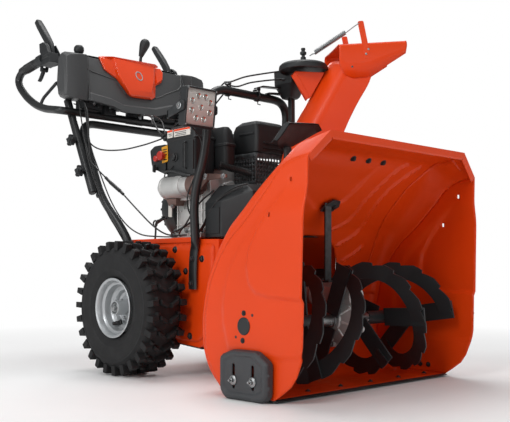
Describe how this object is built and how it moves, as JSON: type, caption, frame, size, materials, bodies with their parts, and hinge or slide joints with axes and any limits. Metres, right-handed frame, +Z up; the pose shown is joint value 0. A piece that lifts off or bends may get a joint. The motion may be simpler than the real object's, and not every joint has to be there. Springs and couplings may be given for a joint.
{
  "type": "two stage snowblower",
  "caption": "Walk-behind two stage snowblower with a steerable discharge chute, an engine, two drive wheels and a control console on tube handles.",
  "frame": {"origin": "centre of the bounding box in plan, on the ground", "axes": "+Z up; the intake faces -Y and the operator stands at +Y; +X is the operator's left"},
  "size_m": [0.74, 1.3904, 1.152],
  "materials": {
    "orange": "gloss powder coat",
    "gloss_orange": "gloss",
    "black_steel": "satin powder coat",
    "black_plastic": "fine grain",
    "grey_plastic": "fine grain",
    "tyre": "matte",
    "belt_rubber": "matte",
    "rim_silver": "silver paint",
    "cast_aluminium": "as cast",
    "steel": "zinc plated",
    "cast_iron": "machined",
    "lamp_lens": "clear over reflector",
    "red_plastic": "gloss"
  },
  "bodies": {
    "machine": {"auger_housing": "orange", "side_plate_left": "orange", "side_plate_right": "orange", "scraper_bar": "black_steel", "bearing_cap_left": "black_steel", "bearing_cap_right": "black_steel", "gearbox_case": "cast_aluminium", "gearbox_brace": "black_steel", "chute_ring": "black_plastic", "chute_post": "black_steel", "chute_gear_head": "black_plastic", "chassis_frame": "orange", "bottom_cover": "black_steel", "belt_cover": "black_plastic", "drive_belt": "belt_rubber", "support_hoop": "black_steel", "headlight_bracket": "black_steel", "lower_handle": "black_steel", "crankcase": "cast_aluminium", "cylinder_head": "cast_aluminium", "recoil_starter": "black_plastic", "fuel_tank": "black_plastic", "muffler": "black_steel", "carburettor_box": "black_plastic", "starter_motor": "cast_aluminium"},
    "skid_left_body": {"skid_shoe_left": "grey_plastic"},
    "skid_right_body": {"skid_shoe_right": "grey_plastic"},
    "cleanout_body": {"cleanout_tool": "black_plastic"},
    "auger_rotor": {"auger_shaft": "steel", "auger_left": "black_steel", "auger_right": "black_steel", "worm_wheel": "cast_iron"},
    "impeller_rotor": {"impeller_shaft": "steel", "impeller": "black_steel", "auger_pulley": "steel"},
    "crank_rotor": {"engine_pulley": "steel"},
    "chute_body": {"chute": "orange", "deflector_spring": "steel"},
    "deflector_body": {"chute_deflector": "orange"},
    "wheel_left_body": {"axle_left": "steel", "rim_left": "rim_silver", "tyre_left": "tyre"},
    "wheel_right_body": {"axle_right": "steel", "rim_right": "rim_silver", "tyre_right": "tyre"},
    "headlight_body": {"headlight_housing": "black_plastic", "headlight_lens": "lamp_lens"},
    "upper_handle_body": {"upper_handle": "black_steel", "console_base": "grey_plastic", "console_cover": "gloss_orange"},
    "drive_lever_body": {"drive_lever": "black_plastic"},
    "auger_lever_body": {"auger_lever": "black_plastic"},
    "trigger_left_body": {"steering_trigger_left": "black_plastic"},
    "trigger_right_body": {"steering_trigger_right": "black_plastic"},
    "speed_lever_body": {"speed_lever": "black_plastic"},
    "chute_lever_body": {"chute_lever": "black_plastic"},
    "starter_handle_body": {"starter_handle": "black_plastic"},
    "fuel_cap_body": {"fuel_cap": "black_plastic"},
    "stop_switch_body": {"stop_switch": "red_plastic"},
    "choke_body": {"choke_knob": "black_plastic"}
  },
  "joints": [
    {"name": "auger_spin", "type": "hinge", "parent": "machine", "child": "auger_rotor", "pos_m": [0, -0.48615, 0.167], "axis": [1, 0, 0], "continuous": true},
    {"name": "impeller_spin", "type": "hinge", "parent": "machine", "child": "impeller_rotor", "pos_m": [0, -0.28515, 0.228], "axis": [0, 1, 0], "continuous": true},
    {"name": "crank_spin", "type": "hinge", "parent": "machine", "child": "crank_rotor", "pos_m": [0, -0.17415, 0.484], "axis": [0, 1, 0], "continuous": true},
    {"name": "skid_left_height", "type": "slide", "parent": "machine", "child": "skid_left_body", "axis": [0, 0, 1], "range_m": [-0.03, 0.01]},
    {"name": "skid_right_height", "type": "slide", "parent": "machine", "child": "skid_right_body", "axis": [0, 0, 1], "range_m": [-0.03, 0.01]},
    {"name": "cleanout_lift", "type": "slide", "parent": "machine", "child": "cleanout_body", "axis": [0, 0, 1], "range_m": [0, 0.15]},
    {"name": "chute_turn", "type": "hinge", "parent": "machine", "child": "chute_body", "pos_m": [0.085, -0.28715, 0.5], "axis": [0, 0, 1], "range_deg": [-130, 35]},
    {"name": "deflector_tilt", "type": "hinge", "parent": "chute_body", "child": "deflector_body", "pos_m": [0.18614, -0.35537, 0.866], "axis": [0.5592, 0.829, 0], "range_deg": [0, 50]},
    {"name": "wheel_left_spin", "type": "hinge", "parent": "machine", "child": "wheel_left_body", "pos_m": [0.253, 0.08585, 0.1905], "axis": [1, 0, 0], "continuous": true},
    {"name": "wheel_right_spin", "type": "hinge", "parent": "machine", "child": "wheel_right_body", "pos_m": [-0.253, 0.08585, 0.1905], "axis": [1, 0, 0], "continuous": true},
    {"name": "headlight_tilt", "type": "hinge", "parent": "machine", "child": "headlight_body", "pos_m": [-0.245, -0.19915, 0.728], "axis": [1, 0, 0], "range_deg": [-20, 20]},
    {"name": "handle_height", "type": "slide", "parent": "machine", "child": "upper_handle_body", "axis": [0, 0.44, 0.898], "range_m": [0, 0.05]},
    {"name": "drive_lever_squeeze", "type": "hinge", "parent": "upper_handle_body", "child": "drive_lever_body", "pos_m": [0.246, 0.54085, 1], "axis": [1, 0, 0], "range_deg": [-45, 0]},
    {"name": "auger_lever_squeeze", "type": "hinge", "parent": "upper_handle_body", "child": "auger_lever_body", "pos_m": [-0.246, 0.54085, 1], "axis": [1, 0, 0], "range_deg": [-45, 0]},
    {"name": "trigger_left_squeeze", "type": "hinge", "parent": "upper_handle_body", "child": "trigger_left_body", "pos_m": [0.269, 0.55085, 0.961], "axis": [1, 0, 0], "range_deg": [0, 14]},
    {"name": "trigger_right_squeeze", "type": "hinge", "parent": "upper_handle_body", "child": "trigger_right_body", "pos_m": [-0.269, 0.55085, 0.961], "axis": [1, 0, 0], "range_deg": [0, 14]},
    {"name": "speed_select", "type": "hinge", "parent": "upper_handle_body", "child": "speed_lever_body", "pos_m": [0.066, 0.46485, 0.95], "axis": [1, 0, 0], "range_deg": [-25, 25]},
    {"name": "chute_stick", "type": "hinge", "parent": "upper_handle_body", "child": "chute_lever_body", "pos_m": [-0.191, 0.46485, 0.972], "axis": [0, 1, 0], "range_deg": [-16, 16]},
    {"name": "starter_pull", "type": "slide", "parent": "machine", "child": "starter_handle_body", "axis": [0, 1, 0], "range_m": [0, 0.45]},
    {"name": "fuel_cap_turn", "type": "hinge", "parent": "machine", "child": "fuel_cap_body", "pos_m": [0.06, 0.08485, 0.73], "axis": [0, 0, 1], "range_deg": [0, 90]},
    {"name": "stop_switch_turn", "type": "hinge", "parent": "machine", "child": "stop_switch_body", "pos_m": [-0.16, 0.08985, 0.628], "axis": [1, 0, 0], "range_deg": [0, 45]},
    {"name": "choke_turn", "type": "hinge", "parent": "machine", "child": "choke_body", "pos_m": [-0.16, 0.08985, 0.598], "axis": [1, 0, 0], "range_deg": [-45, 45]}
  ],
  "couplings": [
    {"joint": "impeller_spin", "follows": "auger_spin", "ratio": 10},
    {"joint": "crank_spin", "follows": "auger_spin", "ratio": 25}
  ]
}
